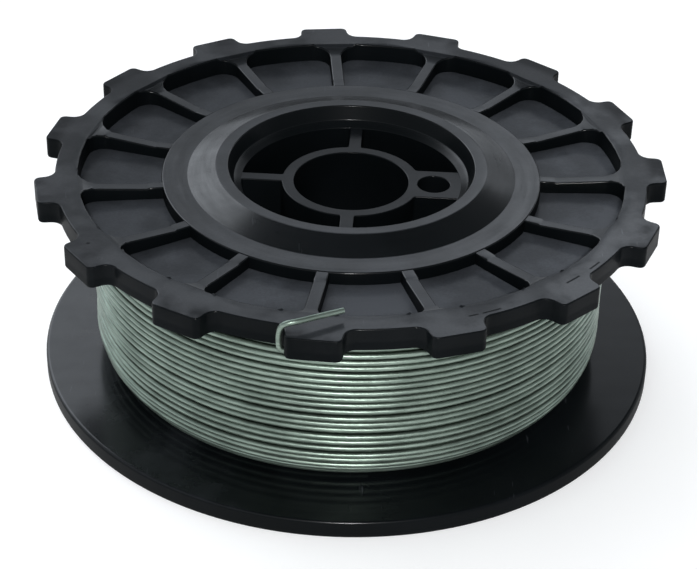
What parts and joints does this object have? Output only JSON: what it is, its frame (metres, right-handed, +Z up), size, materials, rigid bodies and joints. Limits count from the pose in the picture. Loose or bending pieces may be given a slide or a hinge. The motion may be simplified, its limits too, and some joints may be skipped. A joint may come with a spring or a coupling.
{
  "type": "spool of tie wire",
  "caption": "Coil of thin zinc-coated steel tie wire on a black plastic spool with one toothed and one plain flange, lying flat, its free end bent over the rim.",
  "frame": {"origin": "centre of the plain flange's outer face, on which the spool lies", "axes": "+Z up along the spool's axis, towards the toothed flange; +X through the middle of one tooth"},
  "size_m": [0.092, 0.092, 0.034],
  "materials": {
    "plastic": "black moulded plastic, half gloss, scuffed",
    "wire": "zinc-coated drawn steel wire, greenish grey"
  },
  "bodies": {
    "root": {"spool": "plastic", "wire_coil": "wire"}
  },
  "joints": []
}
